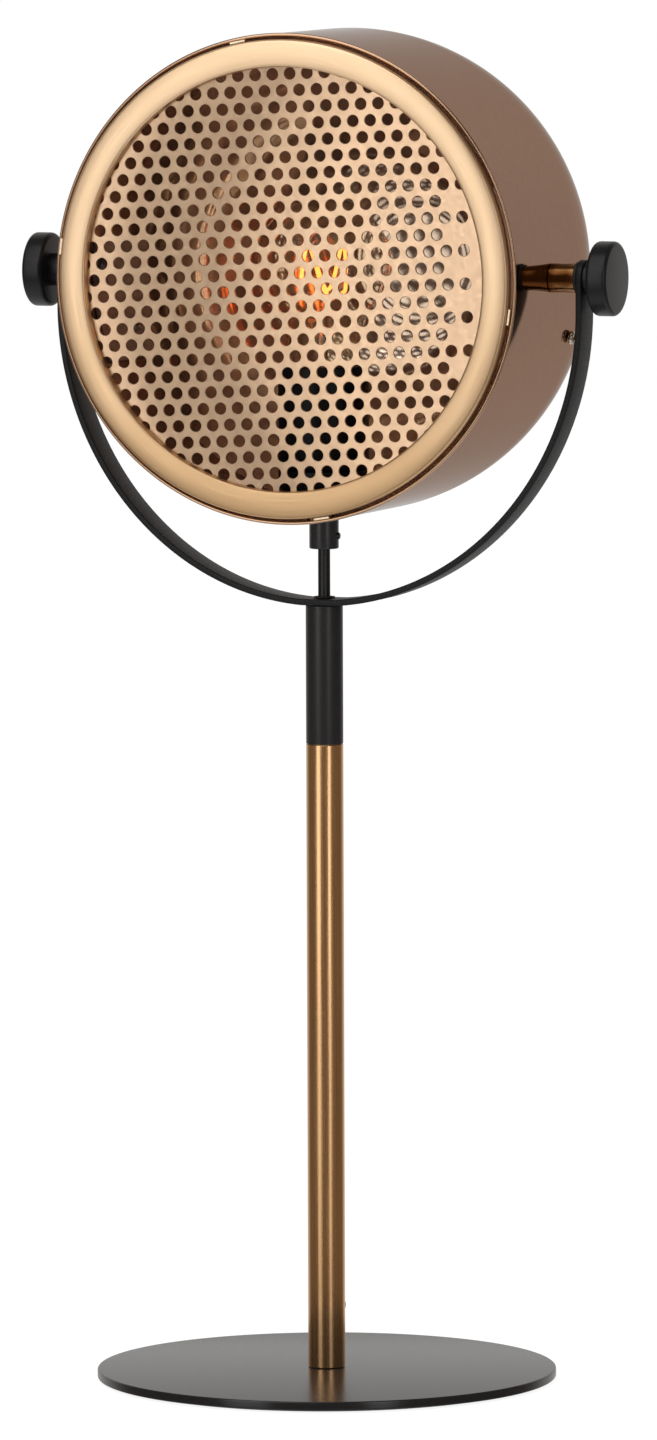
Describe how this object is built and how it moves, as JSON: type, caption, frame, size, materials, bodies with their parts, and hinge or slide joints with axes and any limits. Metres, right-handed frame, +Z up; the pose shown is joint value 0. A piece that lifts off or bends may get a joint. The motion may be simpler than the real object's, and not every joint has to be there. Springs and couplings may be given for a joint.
{
  "type": "table lamp",
  "caption": "Table lamp with a domed drum shade and perforated front that tilts in a yoke, on a slim pole and a round flat base.",
  "frame": {"origin": "centre of the base's underside, on the surface the lamp stands on", "axes": "+Z up along the pole, +X along the shade's tilt axis to the right-hand knob, -Y the way the perforated front faces"},
  "size_m": [0.2736, 0.2241, 0.5959],
  "materials": {
    "felt": "pressed felt",
    "black_satin": "satin powder coat",
    "black_plastic": "fine matte",
    "black_screw": "black oxide",
    "satin_copper": "satin copper plate",
    "pale_gold": "satin pale gold plate",
    "copper_lacquer": "glossy copper lacquer",
    "brass": "turned",
    "zinc_steel": "zinc plate",
    "rubber": "matte",
    "flex_sheath": "smooth sheath",
    "ceramic": "glazed ceramic",
    "brown_core": "smooth",
    "blue_core": "smooth",
    "bulb_cap_metal": "rolled",
    "clear_glass": "clear",
    "filament": "glowing wire"
  },
  "bodies": {
    "stand": {"base_pad": "felt", "base_plate": "black_satin", "base_screw": "zinc_steel", "pole_foot": "zinc_steel", "pole_tube": "satin_copper", "outlet_grommet": "rubber", "pole_joiner": "brass", "pole_sleeve": "black_satin", "yoke": "black_satin", "yoke_bush": "rubber", "head_flex": "flex_sheath"},
    "head": {"shade_drum": "copper_lacquer", "pivot_plate_left": "zinc_steel", "pivot_plate_right": "zinc_steel", "plate_screw_left": "black_screw", "plate_screw_right": "black_screw", "pivot_bolt_left": "zinc_steel", "pivot_bolt_right": "zinc_steel", "pivot_spacer_left": "brass", "pivot_spacer_right": "brass", "pivot_washer_left": "rubber", "pivot_washer_right": "rubber", "cord_grip": "black_satin", "cord_grip_screw": "black_screw", "holder_nipple": "brass", "holder_nut": "brass", "holder_cap": "black_plastic", "holder_body": "black_plastic", "holder_insert": "ceramic", "holder_screw_shell": "brass", "holder_contact": "brass", "core_live": "brown_core", "core_neutral": "blue_core"},
    "bezel": {"bezel_ring": "pale_gold", "grille": "pale_gold", "bezel_clip_1": "pale_gold", "bezel_clip_2": "pale_gold", "bezel_clip_3": "pale_gold", "bezel_clip_4": "pale_gold"},
    "bulb": {"bulb_cap": "bulb_cap_metal", "bulb_glass": "clear_glass", "bulb_stem": "clear_glass", "bulb_filament": "filament"},
    "knob_left": {"knob_left": "black_plastic", "knob_insert_left": "brass"},
    "knob_right": {"knob_right": "black_plastic", "knob_insert_right": "brass"}
  },
  "joints": [
    {"name": "head_tilt", "type": "hinge", "parent": "stand", "child": "head", "pos_m": [0, 0, 0.4892], "axis": [1, 0, 0], "range_deg": [-40, 40], "deforming": ["head_flex"]},
    {"name": "knob_right_turn", "type": "hinge", "parent": "head", "child": "knob_right", "pos_m": [0.132, 0, 0.4892], "axis": [1, 0, 0], "range_deg": [0, 360]},
    {"name": "knob_left_turn", "type": "hinge", "parent": "head", "child": "knob_left", "pos_m": [-0.132, 0, 0.4892], "axis": [-1, 0, 0], "range_deg": [0, 360]},
    {"name": "bezel_pull", "type": "slide", "parent": "head", "child": "bezel", "axis": [0, -1, 0], "range_m": [0, 0.042]},
    {"name": "bulb_lift", "type": "slide", "parent": "head", "child": "bulb", "axis": [0, 0, 1], "range_m": [0, 0.026]}
  ]
}
